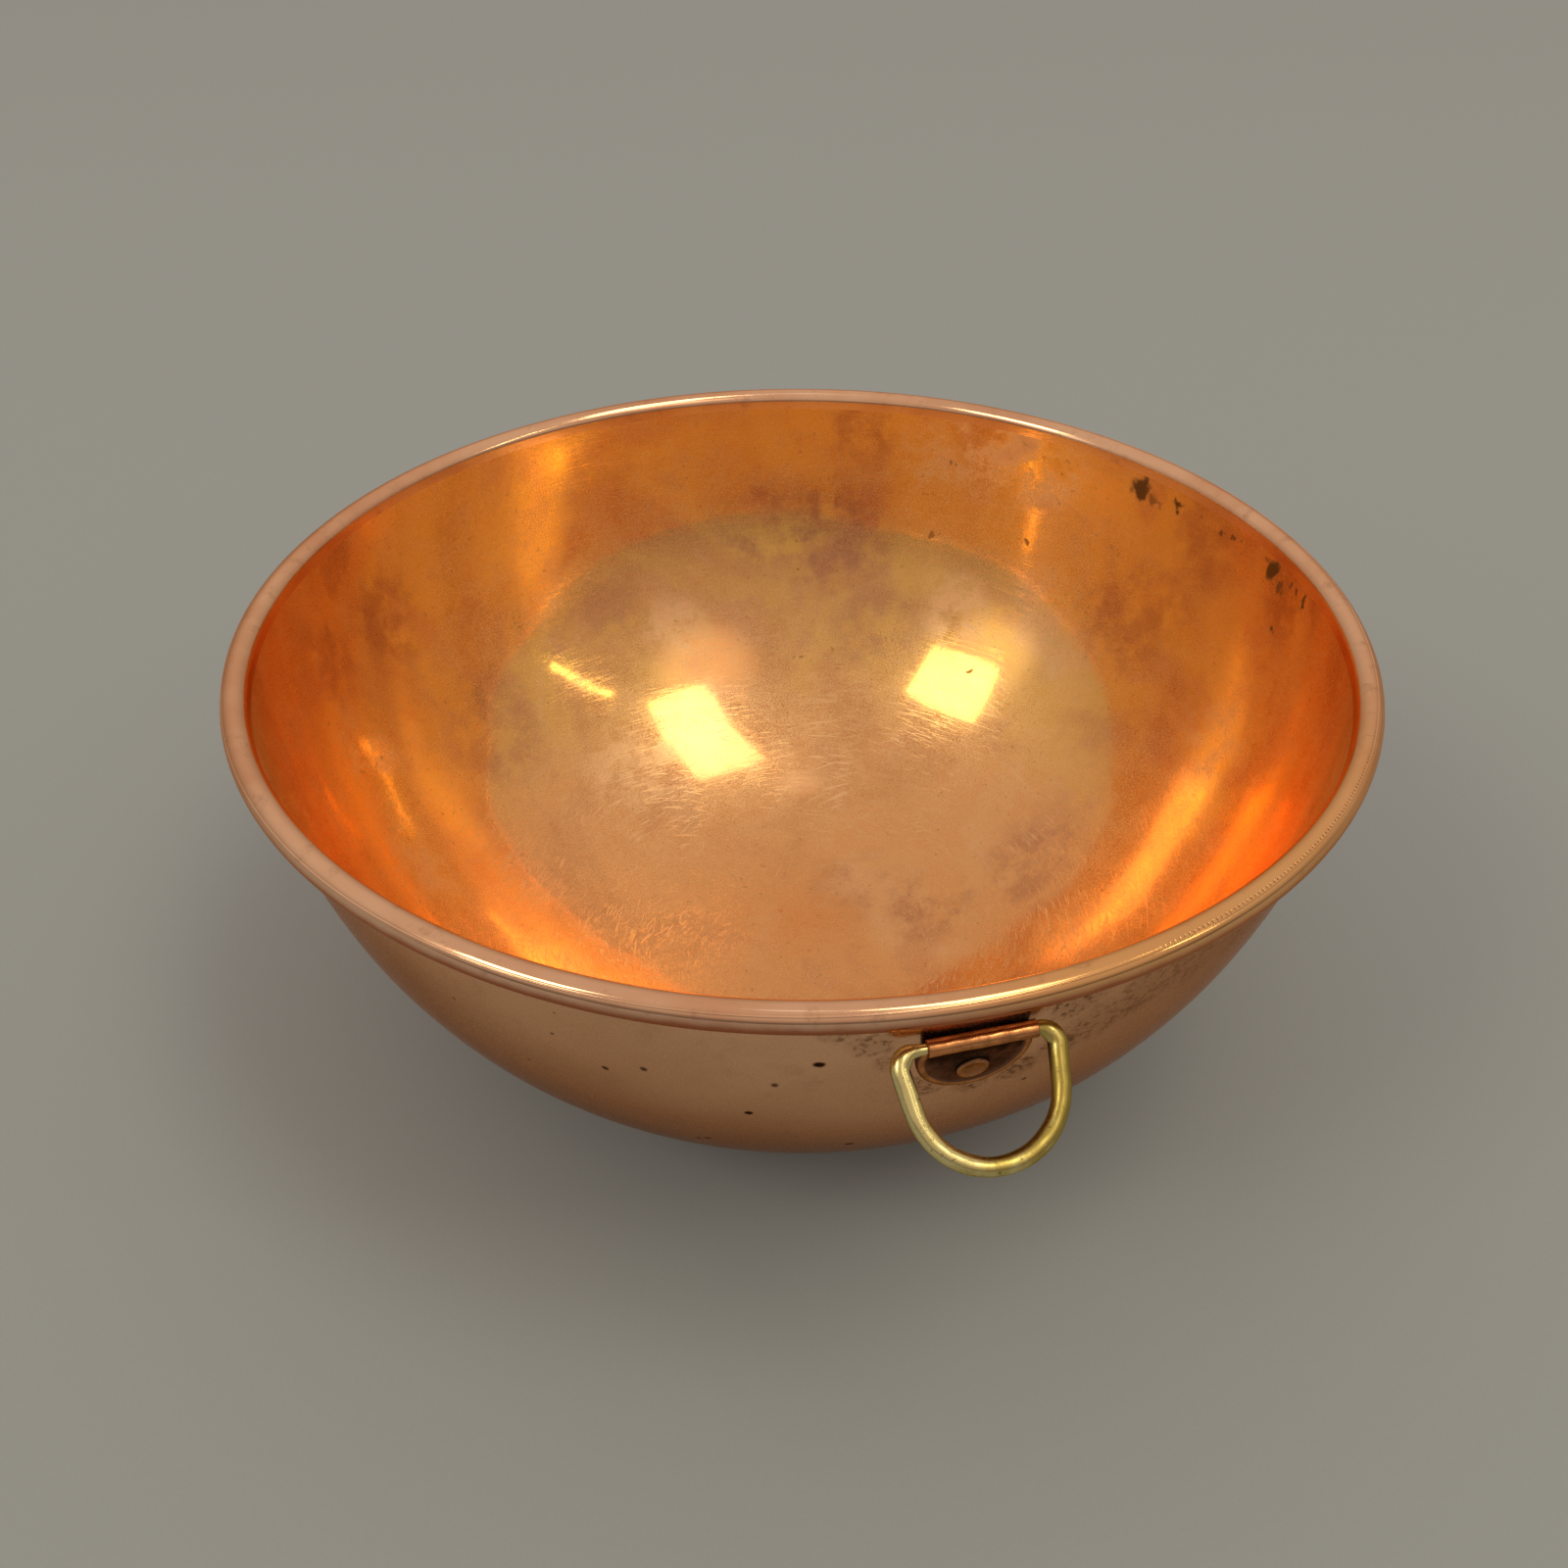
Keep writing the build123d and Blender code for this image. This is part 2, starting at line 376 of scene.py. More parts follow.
LUG_BRIGHT, LUG_DULL = rgb(0.78, 0.34, 0.14), rgb(0.46, 0.19, 0.08)
LUG_BROWN, LUG_BLACK = rgb(0.21, 0.105, 0.07), rgb(0.055, 0.028, 0.017)
BRASS_RUBBED, BRASS_AGED_AND_SHADED, BRASS_PITS = rgb(0.84, 0.71, 0.34), rgb(0.52, 0.40, 0.11), rgb(0.22, 0.14, 0.04)
STEEL, STEEL_RUST = rgb(0.42, 0.41, 0.40), rgb(0.2, 0.12, 0.08)
FLOOR_DARK, FLOOR_PALE = rgb(0.350, 0.385, 0.445), rgb(0.378, 0.413, 0.473)


# Stains inside: place in millimetres, size, strength
INSIDE_STAINS = (
    (128.7, 60.9, 118.4, 3.6, 0.9), (131.0, 56.0, 117.0, 2.4, 0.6), (134.2, 47.8, 118.8, 2.2, 0.9),
    (133.6, 46.5, 116.4, 1.2, 0.8), (137.0, 38.0, 119.0, 1.0, 0.6), (139.5, 28.5, 118.4, 1.1, 0.7),
    (140.6, 23.0, 119.4, 1.0, 0.7), (141.4, 18.4, 120.1, 0.9, 0.7), (142.4, 2.5, 119.0, 3.8, 0.9),
    (142.4, -3.5, 116.2, 2.4, 0.7), (142.3, -8.0, 119.6, 1.4, 0.7), (141.9, -12.0, 119.8, 1.3, 0.8),
    (141.6, -17.4, 119.0, 1.5, 0.9), (139.8, -7.2, 104.9, 1.3, 0.8), (83.9, 113.0, 108.4, 0.9, 0.6),
    (30.6, 123.8, 67.8, 0.8, 0.7), (29.4, 107.0, 42.1, 0.8, 0.6), (26.6, 107.8, 41.8, 0.7, 0.6),
)
INSIDE_SPOTS = (
    (82.5, 78.5, 45.8, 1.0, 0.9), (69.8, 73.6, 32.4, 1.0, 0.6), (103.2, 88.3, 88.6, 1.2, 0.8),
    (76.4, 110.3, 83.6, 1.2, 0.8), (-96.0, 92.0, 86.0, 1.2, 0.8), (-71.0, 96.0, 58.0, 1.1, 0.8),
)
INSIDE_BLOOMS = (
    (-110.5, 81.7, 94.0, 16.0, 0.8), (-127.6, 54.1, 98.8, 14.0, 0.7), (-82.6, 81.4, 48.6, 20.0, 0.6),
    (-80.7, 76.0, 42.1, 14.0, 0.6), (-124.1, 71.4, 121.0, 12.0, 0.6), (-38.0, 120.1, 64.7, 12.0, 0.5),
    (44.8, 125.1, 80.1, 22.0, 0.9), (20.0, 129.0, 84.0, 18.0, 0.7), (57.6, 103.6, 52.2, 18.0, 0.6),
    (123.4, 48.3, 79.1, 20.0, 0.7), (130.5, 37.1, 88.2, 14.0, 0.5), (89.3, 92.6, 70.1, 14.0, 0.35),
    (82.1, 5.2, 17.9, 20.0, 0.7), (46.9, 7.7, 4.2, 16.0, 0.7), (28.0, 22.5, 2.0, 18.0, 0.4),
    (56.1, 130.4, 115.7, 14.0, 0.7), (135.0, 30.0, 118.0, 20.0, 0.6), (140.0, -12.0, 118.0, 16.0, 0.7),
)
INSIDE_RUBBED = (
    (95.0, 106.7, 118.0, 20.0, 0.9), (109.0, 92.7, 116.0, 17.0, 0.9), (80.0, 118.0, 112.0, 14.0, 0.6),
    (-58.5, 113.0, 67.2, 4.0, 0.9), (-55.5, 115.5, 71.5, 2.5, 0.7), (-61.5, 108.5, 62.0, 2.0, 0.6),
    (81.4, 94.4, 62.2, 13.0, 0.7), (-14.3, 118.8, 54.0, 12.0, 0.7), (-37.1, 79.5, 21.4, 18.0, 0.6),
    (-120.0, 44.0, 70.0, 14.0, 0.5), (-108.0, 20.0, 46.0, 14.0, 0.5), (126.0, -10.0, 66.0, 16.0, 0.5),
)
# Grime round the lug, with painted shade in the gap above the tube, and specks outside: degrees round from the
# lug, millimetres below the bead's middle, size, strength
LUG_GRIME_AND_SHADE = (
    (-4.0, 31.0, 5.0, 0.9), (0.5, 33.5, 5.0, 1.0), (5.0, 31.0, 5.0, 1.0), (8.5, 27.0, 6.0, 0.9),
    (12.0, 22.0, 8.0, 0.7), (16.5, 17.0, 9.0, 0.7), (22.0, 13.0, 11.0, 0.6), (29.0, 12.0, 12.0, 0.45),
    (-7.0, 20.0, 4.0, 0.6), (-9.0, 12.0, 5.0, 0.8), (-12.0, 6.0, 5.0, 0.9), (1.0, 10.0, 10.0, 1.0),
    (9.0, 9.0, 8.0, 1.0), (36.0, 10.0, 10.0, 0.3),
)
OUTSIDE_SPECKS = (
    (-32.0, 30.2, 0.9, 0.9), (-28.2, 26.7, 0.9, 0.8), (-13.0, 18.9, 1.2, 1.0), (-16.7, 27.5, 0.9, 0.8),
    (-19.2, 41.4, 1.0, 1.0), (-24.2, 63.4, 0.9, 0.9), (-25.2, 65.0, 0.8, 0.8), (-9.3, 64.0, 1.1, 1.0),
    (-36.2, 21.3, 0.6, 0.6), (-35.3, 12.7, 0.4, 0.6), (-40.6, 39.1, 0.7, 0.5), (6.5, 38.7, 0.7, 0.8),
    (-47.0, 24.0, 0.6, 0.5), (61.0, 30.0, 0.8, 0.7), (97.0, 48.0, 1.0, 0.8), (151.0, 22.0, 0.9, 0.8),
    (170.0, 57.0, 1.1, 0.8), (-122.0, 35.0, 0.9, 0.8), (-158.0, 62.0, 0.8, 0.7), (-80.0, 50.0, 0.9, 0.7),
)


def on_outer_face(table):
    """The same table with each angle and drop turned into a place on the wall's outer face."""
    placed = []
    for turn, drop, size, strength in table:
        out, way = wall_radius(BEAD_HEIGHT - drop), math.radians(turn)
        placed.append((out * math.sin(way), -out * math.cos(way), BEAD_HEIGHT - drop, size, strength))
    return placed


def inside_copper():
    """Used, scoured copper: a mirror under a finer haze, with turned lines on the wall and hair scratches."""
    skin = Finish("copper_inside", Specular_Tint=rgb(1.0, 0.92, 0.70))
    warp = skin.warped(90.0, 0.006)
    clouds = skin.noise(skin.place, 13.0, 4.0, 0.6, 0.6)
    patches = skin.noise(skin.place, 38.0, 3.0, 0.6)
    mottle = skin.noise(skin.place, 85.0, 5.0, 0.7)
    grain = skin.noise(skin.place, 6200.0, 0.0)
    pits = skin.noise(skin.place, 480.0, 2.0, 0.6)
    dents = skin.noise(skin.place, 95.0, 2.0, 0.45)
    turned = skin.noise(skin.round_the_axis(2.5, 2300.0), 1.0, 1.0, 0.5)
    coarse = skin.noise(skin.round_the_axis(5.0, 260.0, 3.0), 1.0, 3.0, 0.6)
    rings = skin.noise(skin.round_the_axis(9.0, 900.0, 5.0), 1.0, 2.0, 0.6)
    scratches = skin.rubbings(((0.4, 0.02), (1.7, 0.07), (2.9, -0.07)), 8.0, 1350.0, 0.62)
    hairs = skin.scratches((0.6, 1.4, 2.2, 3.0), 60.0, 2600.0, 0.62)
    bloom = skin.marks(warp, INSIDE_BLOOMS, mottle)
    rubbed = skin.marks(warp, INSIDE_RUBBED, mottle)
    stain = skin.marks(skin.warped(300.0, 0.008), INSIDE_STAINS)
    spot = skin.marks(skin.warped(500.0, 0.004), INSIDE_SPOTS)

    # The haze is a grain of dull dots, thinner in the dark blooms; the worn arcs fade out up the wall
    far = skin.span(skin.radius, 0.085, 0.125)
    below = skin.plus(far, -0.8, 1.0)
    haze = skin.span(skin.plus(skin.span(mottle, 0.3, 0.7), 0.09, grain), 0.57, 0.63)
    haze = skin.times(haze, skin.plus(bloom, -0.45, 1.0))
    worn = skin.times(skin.times(scratches, below), skin.span(patches, 0.40, 0.62, 0.35, 1.0))
    colour = skin.coats(
        COPPER_SOLE,
        (far, COPPER_WALL),
        (skin.span(clouds, 0.50, 0.66, 0.0, 0.85), CLOUD_DARK),
        (skin.span(clouds, 0.46, 0.32, 0.0, 0.7), CLOUD_PALE),
        (skin.span(patches, 0.54, 0.68, 0.0, 0.55), PATCH_BROWN),
        (bloom, BLOOM_PURPLE),
        (rubbed, RUBBED_PINK),
        (skin.span(mottle, 0.52, 0.75, 0.0, 0.5), MOTTLE_BROWN),
        (skin.span(pits, 0.66, 0.74, 0.0, 0.6), PIT_BROWN),
        (skin.most(skin.times(haze, 0.65), skin.times(worn, 0.6)), WORN_PALE),
        (spot, SPOT_BROWN),
        (stain, STAIN_BLACK),
    )
    dull = skin.most(haze, skin.times(worn, 0.75))
    rough = skin.plus(dull, 0.36, skin.span(rings, 0.45, 0.68, 0.055, 0.085))
    rough = skin.plus(rubbed, 0.30, rough)
    rough = skin.plus(skin.most(stain, spot), 0.35, rough)
    lines = skin.times(skin.span(turned, 0.56, 0.64), skin.span(coarse, 0.35, 0.65, 0.4, 1.0))
    height = skin.plus(skin.times(hairs, below), -0.15, skin.times(worn, -1.0))
    height = skin.plus(dents, 1.8, height)
    height = skin.plus(lines, skin.plus(far, 0.25, 0.1), height)
    return skin.done(colour, rough, height, 0.000013)


def outside_copper():
    """The handled outer face: pinker and duller than the inside, specked, brown with grime and painted shade
    round the lug, and darkened toward the base with painted shade.
    """
    skin = Finish("copper_outside", Specular_Tint=rgb(0.66, 0.46, 0.36))
    clouds = skin.noise(skin.place, 11.0, 4.0, 0.6, 0.4)
    mottle = skin.noise(skin.place, 95.0, 5.0, 0.65)
    speckle = skin.noise(skin.place, 620.0, 3.0, 0.6)
    grain = skin.noise(skin.place, 4200.0, 0.0)
    turned = skin.noise(skin.round_the_axis(3.0, 2000.0), 1.0, 1.0, 0.5)
    scratches = skin.scratches((0.5, 1.4, 2.3), 30.0, 1500.0, 0.66)
    # Brown and black round the lug: grime, and painted shade in the gap between the tube and the bead
    grime_and_shade_near_lug = skin.marks(skin.warped(70.0, 0.008), on_outer_face(LUG_GRIME_AND_SHADE))
    dirt_and_shade = skin.times(grime_and_shade_near_lug, skin.span(skin.plus(mottle, 0.5, speckle), 0.70, 0.92))
    speck = skin.marks(skin.warped(260.0, 0.0016), on_outer_face(OUTSIDE_SPECKS))
    colour = skin.coats(
        OUTER_PINK,
        (skin.span(clouds, 0.35, 0.7), OUTER_DULL),
        (skin.span(mottle, 0.5, 0.78, 0.0, 0.4), OUTER_MOTTLE),
        # Painted shade: the wall darkens toward the base, standing in for the shadowed floor that it reflects
        (skin.times(skin.span(skin.z, 0.085, 0.030), 0.9), OUTER_FOOT_SHADE),
        (skin.times(grime_and_shade_near_lug, 0.30), OUTER_BROWN),
        (skin.times(dirt_and_shade, 0.75), OUTER_DIRT_AND_SHADE),
        (speck, SPECK_BLACK),
    )
    rough = skin.span(skin.plus(mottle, 0.25, grain), 0.62, 0.72, 0.15, 0.36)
    rough = skin.plus(skin.most(speck, dirt_and_shade), 0.3, rough)
    height = skin.plus(skin.span(turned, 0.54, 0.66), 0.8, skin.times(scratches, -1.0))
    return skin.done(colour, rough, height, 0.000005)


def rim_copper():
    """The rolled rim: burnished round by the roller, with its chatter left beside the ridge on one side,
    painted shade on the bead's underside and a painted warm reflection on the bead over the lug.
    """
    skin = Finish("copper_rim", Specular_Tint=rgb(1.0, 0.68, 0.50))
    streaks = skin.noise(skin.round_the_axis(2.0, 2600.0), 1.0, 3.0, 0.6)
    clouds = skin.noise(skin.place, 22.0, 4.0, 0.6)
    mottle = skin.noise(skin.place, 150.0, 5.0, 0.65)
    way_round = skin.plus(skin.sum("ARCTAN2", skin.y, skin.x), CHATTER_TEETH, skin.times(mottle, 5.0))
    teeth = skin.times(skin.span(skin.sum("SINE", way_round), 0.1, 0.8), skin.field("chatter"))
    # Painted warm reflection: the bead over the lug is laid more orange
    painted_reflection_by_lug = skin.times(skin.span(skin.way_y, -0.35, -0.9), skin.span(skin.way_x, -0.2, 0.15))
    # Painted shade on the bead's lower outer face, next to the wall
    under = skin.times(skin.span(skin.plus(mottle, 0.0015, skin.z), 0.1270, 0.1245),
                       skin.span(skin.radius, 0.1466, 0.1484))
    colour = skin.coats(
        RIM_PINK,
        (skin.span(clouds, 0.35, 0.7), RIM_DULL),
        (skin.times(painted_reflection_by_lug, 0.8), RIM_REFLECTED_ORANGE),
        (under, RIM_UNDERSIDE_SHADE),
        (skin.span(mottle, 0.55, 0.75, 0.0, 0.5), RIM_MOTTLE),
        (skin.times(teeth, 0.5), RIM_TEETH),
    )
    rough = skin.plus(skin.span(mottle, 0.5, 0.8), 0.10, skin.span(streaks, 0.35, 0.7, 0.08, 0.17))
    return skin.done(colour, rough, skin.plus(teeth, -9.0, streaks), 0.00001)


def lug_copper():
    """Sheet copper rubbed bright on the tube and the tab's border, with grime and painted shade in its hollows,
    under the tube and behind the bar.
    """
    skin = Finish("copper_lug", Specular_Tint=rgb(0.48, 0.30, 0.21))
    grime = skin.field("grime")
    mottle = skin.noise(skin.place, 300.0, 5.0, 0.7)
    drawn_out = skin.add("ShaderNodeMapping", skin.place, None, None, (60.0, 900.0, 900.0)).outputs[0]
    # Brown and black from the field: grime, and painted shade under the tube and behind the bar
    dirt_and_shade = skin.span(skin.plus(mottle, 0.9, grime), 0.72, 1.15)
    colour = skin.coats(
        LUG_BRIGHT,
        (skin.span(mottle, 0.35, 0.7), LUG_DULL),
        (skin.span(grime, 0.02, 0.25), LUG_BROWN),
        (dirt_and_shade, LUG_BLACK),
    )
    rough = skin.plus(dirt_and_shade, 0.35, skin.span(mottle, 0.3, 0.7, 0.18, 0.36))
    return skin.done(colour, rough, skin.plus(skin.noise(drawn_out, 1.0, 3.0), 0.8, mottle), 0.00004)


def ring_brass():
    """Cast brass: yellow where hands rub it, olive with age between and with painted shade toward +X, brown in
    its small pits.
    """
    skin = Finish("brass_cast", Specular_Tint=rgb(0.62, 0.52, 0.28))
    # Age noise plus painted shade that grows toward +X, darkening the right leg
    age_and_shade = skin.plus(skin.x, 11.0, skin.noise(skin.place, 120.0, 4.0, 0.6))
    cast = skin.noise(skin.place, 260.0, 3.0, 0.5)
    pits = skin.noise(skin.place, 900.0, 3.0, 0.6)
    colour = skin.coats(
        BRASS_RUBBED,
        (skin.span(age_and_shade, 0.36, 0.66), BRASS_AGED_AND_SHADED),
        (skin.span(pits, 0.60, 0.72, 0.0, 0.8), BRASS_PITS),
    )
    rough = skin.plus(skin.span(pits, 0.45, 0.65), 0.10, skin.span(age_and_shade, 0.35, 0.7, 0.20, 0.30))
    return skin.done(colour, rough, skin.plus(cast, 1.0, skin.times(pits, -0.35)), 0.00003)


def rim_steel():
    """Drawn steel wire, dulled, that the rim is rolled over."""
    skin = Finish("steel_wire")
    drawn = skin.noise(skin.round_the_axis(4.0, 3000.0), 1.0, 2.0)
    rust = skin.noise(skin.place, 160.0, 4.0, 0.6)
    colour = skin.coats(STEEL, (skin.span(rust, 0.5, 0.8), STEEL_RUST))
    return skin.done(colour, skin.span(drawn, 0.3, 0.7, 0.35, 0.55), drawn, 0.00002)


# ---- Bowl ----

# The bowl's materials, by their number on the mesh
INSIDE, OUTSIDE, RIM = 0, 1, 2


def wall_face(inset, count):
    """One face of the wall from the axis to the mouth, as radius and height.

    Beyond the sole it is the wall's curve. Under the sole's radius the height is that curve's height there
    times (radius / sole radius)^bend, where bend = radius x slope / height makes the two meet smoothly.
    """
    steps = np.linspace(0, 1, CURVE_STEPS) * math.asin(MOUTH_SHARE ** (WALL_POWER / 2))
    share = np.sin(steps) ** (2 / WALL_POWER)
    radius = (BELLY_RADIUS - inset) * share
    height = BELLY_HEIGHT - (BELLY_DEPTH - inset) * level_share(share)
    sole_share = SOLE_RADIUS / (BELLY_RADIUS - inset)
    sole_height = BELLY_HEIGHT - (BELLY_DEPTH - inset) * level_share(sole_share) - inset
    steep = (sole_share / level_share(sole_share)) ** (WALL_POWER - 1)
    slope = (BELLY_DEPTH - inset) / (BELLY_RADIUS - inset) * steep
    bend = SOLE_RADIUS * slope / sole_height
    under = radius < SOLE_RADIUS
    height[under] = inset + sole_height * (radius[under] / SOLE_RADIUS) ** bend
    return evenly(np.stack([radius, height], axis=1), count)


def arc(radius, start, end, count):
    """Points round the bead's centre at a radius, from one angle to another."""
    angle = np.linspace(start, end, count)
    return np.stack([BEAD_CENTRE + radius * np.cos(angle), BEAD_HEIGHT + radius * np.sin(angle)], axis=1)


def spun_waves(round_angle, run):
    """Slow unevenness of hand-spun sheet, in millimetres: sines of the angle and of the run up the wall."""
    return WAVE_HEIGHT * (
        np.sin(3 * round_angle + 0.7 + run / 17)
        + 0.8 * np.sin(5 * round_angle - run / 11 + 2.0)
        + 0.6 * np.sin(9 * round_angle + run / 8 + 4.1)
        + 0.5 * np.sin(run / 5.5 + 0.4 * np.sin(2 * round_angle))
    )


def bead_rows(mouth, from_lug):
    """The rows of the bead, from the curl's end over its top to the mouth, as angles and radii.

    The rows crowd round the ridge, which climbs as RIDGE_TURN + RIDGE_SWAY sin(turn from the lug) degrees. The
    radius is the bead's + crest e^-((angle - ridge) / 1.5)^2 - groove e^-((angle - ridge - 5) / 3)^2 and two
    slow sines that die out at the mouth.
    """
    ridge = np.radians(RIDGE_TURN + RIDGE_SWAY * np.sin(from_lug))
    spot = np.linspace(0, 1, BEAD_ROWS)[:, None]
    before = np.clip(spot / RIDGE_START, 0, 1)
    near = np.clip((spot - RIDGE_START) / RIDGE_SHARE, 0, 1)
    beyond = np.clip((spot - RIDGE_START - RIDGE_SHARE) / RIDGE_START, 0, 1)
    angle = (CURL_END + (ridge - RIDGE_HALF - CURL_END) * before + 2 * RIDGE_HALF * near
             + (mouth - ridge - RIDGE_HALF) * beyond)
    off = np.degrees(angle - ridge)
    crest, groove = np.exp(-(off / 1.5) ** 2), np.exp(-((off - 5) / 3) ** 2)
    radius = (BEAD_RADIUS + RIDGE_CREST * crest - RIDGE_GROOVE * groove
              + 0.02 * np.sin(5 * angle + 2 * from_lug) * np.sin(angle - mouth)
              + 0.02 * np.sin(11 * from_lug + angle) * np.sin(angle - mouth))
    return angle, radius, off


def make_bowl(inside, outside, rim):
    """The whole sheet, one closed profile turned round the axis.

    The profile goes up the outer face, round the hidden bore of the curl, over the sheet's cut edge, back
    round the bead and down the inner face. Each point but the bead's is moved square to the profile by the
    spun waves, which fade out at the axis and under the bead. The rim's finish reads where the chatter lies:
    e^-((angle - ridge - 7.5) / 4.5)^4, faded in and out at both ends of its sector.
    """
    mouth_lean = (wall_radius(BEAD_HEIGHT + SHEET) - wall_radius(BEAD_HEIGHT - SHEET)) / (2 * SHEET)
    mouth = math.pi - math.atan(mouth_lean)
    angle = np.arange(BOWL_TURNS) * 2 * np.pi / BOWL_TURNS
    from_lug = (angle + np.pi / 2 + np.pi) % (2 * np.pi) - np.pi
    outer, inner = wall_face(0.0, OUTER_ROWS)[1:-1], wall_face(SHEET, INNER_ROWS)[-2:0:-1]
    bore = arc(CURL_BORE, mouth, CURL_END, BORE_ROWS)
    bead_angle, bead_out, off = bead_rows(mouth, from_lug)
    spread = np.ones(BOWL_TURNS)
    radius = np.concatenate([outer[:, :1] * spread, bore[:, :1] * spread,
                             BEAD_CENTRE + bead_out * np.cos(bead_angle), inner[:, :1] * spread])
    height = np.concatenate([outer[:, 1:] * spread, bore[:, 1:] * spread,
                             BEAD_HEIGHT + bead_out * np.sin(bead_angle), inner[:, 1:] * spread])
    part = np.repeat([OUTSIDE, OUTSIDE, RIM, INSIDE], [len(outer), len(bore), BEAD_ROWS, len(inner)])
    run = radius + height
    fade = np.clip(radius / WAVE_FULL, 0, 1) * np.clip((WAVE_END - run) / WAVE_FADE, 0, 1)
    out = spun_waves(angle[None, :], run) * (fade * (part[:, None] != RIM))
    lean = np.arctan2(np.gradient(height, axis=0), np.gradient(radius, axis=0))
    radius = radius + np.abs(np.sin(lean)) * out
    height = height - np.abs(np.cos(lean)) * out * (radius > SOLE_RADIUS)
    points = np.stack([radius * np.cos(angle), radius * np.sin(angle), height], axis=-1).reshape(-1, 3)
    points = np.concatenate([points, [[0, 0, 0], [0, 0, SHEET]]])
    band = np.where(part[:-1] == part[1:], part[:-1], RIM)
    under, over = np.full(BOWL_TURNS, OUTSIDE), np.full(BOWL_TURNS, INSIDE)
    slots = np.concatenate([np.repeat(band, BOWL_TURNS), under, over]).astype(np.int32)
    around = np.degrees(from_lug)
    sector = np.clip((around - CHATTER_START) / 6, 0, 1) * np.clip((CHATTER_STOP - around) / 10, 0, 1)
    chatter = np.zeros(radius.shape)
    chatter[part == RIM] = np.exp(-((off - 7.5) / 4.5) ** 4) * sector
    chatter = np.concatenate([chatter.ravel(), [0, 0]])
    faces = capped_faces(len(part), BOWL_TURNS)
    piece = put_down("spun_bowl", points, faces, "bowl_body", [inside, outside, rim], slots, chatter=chatter)
    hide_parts("bowl")


# ---- Lug and rivet ----

def bent_to_wall(x, out, height, bent=1.0):
    """A point at a distance from the bowl's axis, beside its middle plane: y = -sqrt(out^2 - (bent x)^2)."""
    return np.stack(np.broadcast_arrays(x, -np.sqrt(out ** 2 - (bent * x) ** 2), height), axis=-1)


def tab_outline():
    """The tab's outline seen square on: a half circle below, and sides that draw in to the tube's ends."""
    swing = np.linspace(np.pi, 2 * np.pi, 200)
    low = np.stack([TAB_RADIUS * np.cos(swing), TAB_CENTRE + TAB_RADIUS * np.sin(swing)], axis=1)
    shoulder = BAR_HEIGHT - SHOULDER_DROP
    top = np.array([[TUBE_HALF, shoulder], [-TUBE_HALF, shoulder], [-TAB_RADIUS, TAB_CENTRE]])
    return evenly(np.concatenate([low, top]), TAB_POINTS + 1)[:-1]


def make_tab(finish):
    """The two flat layers of the fold: rings of the outline, drawn in from the edge, then shrunk to the middle.

    In from the edge the front rises to a rubbed border and sinks to the coined middle; at the edge the two
    sheets show as two round noses with a seam between them. Each row of a table is the distance in from the
    edge and the distance out from the wall.
    """
    outline = tab_outline()
    along = unit(np.roll(outline, -1, axis=0) - np.roll(outline, 1, axis=0))
    inward = np.stack([-along[:, 1], along[:, 0]], axis=1)
    front = LUG_SEAT + 2 * LUG_SHEET
    coined = front - 0.15
    border = [(0.0, LUG_SEAT + 1.5 * LUG_SHEET), (0.08, front - 0.08), (0.28, front + 0.04),
              (0.55, front + 0.13), (0.9, front + 0.16), (1.3, front + 0.13), (1.7, front + 0.03),
              (2.2, front - 0.1), (TAB_BORDER, coined)]
    seam = [(0.09, front - LUG_SHEET + 0.12), (0.24, front - LUG_SHEET), (0.09, front - LUG_SHEET - 0.12)]
    back = [(0.0, LUG_SEAT + 0.5 * LUG_SHEET), (0.09, LUG_SEAT + 0.1), (0.3, LUG_SEAT), (TAB_BORDER, LUG_SEAT)]
    sides = np.array(border[::-1] + seam + back)
    # Grime and painted shade over the tab: dark at its edge, inside its border and most in its coined middle;
    # the rubbed top of the border stays clean
    side_dirt = np.interp(sides[:, 0], [0, 0.5, 1.3, 2.0, TAB_BORDER], [0.35, 0.0, 0.05, 0.35, 0.4])
    middle = np.array([0.0, TAB_MIDDLE])
    shrink = np.linspace(1, 0.02, 14)[1:]
    disc = middle + shrink[:, None, None] * (outline + inward * TAB_BORDER - middle)
    loops = np.concatenate([disc[::-1], outline + sides[:, :1, None] * inward, disc])
    outs = np.concatenate([np.full(len(shrink), coined), sides[:, 1], np.full(len(shrink), LUG_SEAT)])
    dirt_and_shade = np.concatenate([0.62 - 0.25 * shrink[::-1], side_dirt, np.full(len(shrink), 0.6)])
    x, height = loops[..., 0], loops[..., 1]
    outs = outs[:, None] + 0.03 * np.sin(x * 0.9 + 1) * np.sin(height * 1.1)
    points = with_middles(bent_to_wall(x, wall_radius(height) + outs, height), len(loops))
    # Painted shade on the tab's top, under the tube
    shade = np.clip((height - 104) / 5, 0, 1) * 0.5 * (np.abs(x) < 10.5)
    grime = np.concatenate([(dirt_and_shade[:, None] + shade).ravel(), [0.6, 0.6]])
    return put_down("lug_tab", points, capped_faces(len(loops), TAB_POINTS, turned=True), "bowl_body",
                    [finish], grime=grime)


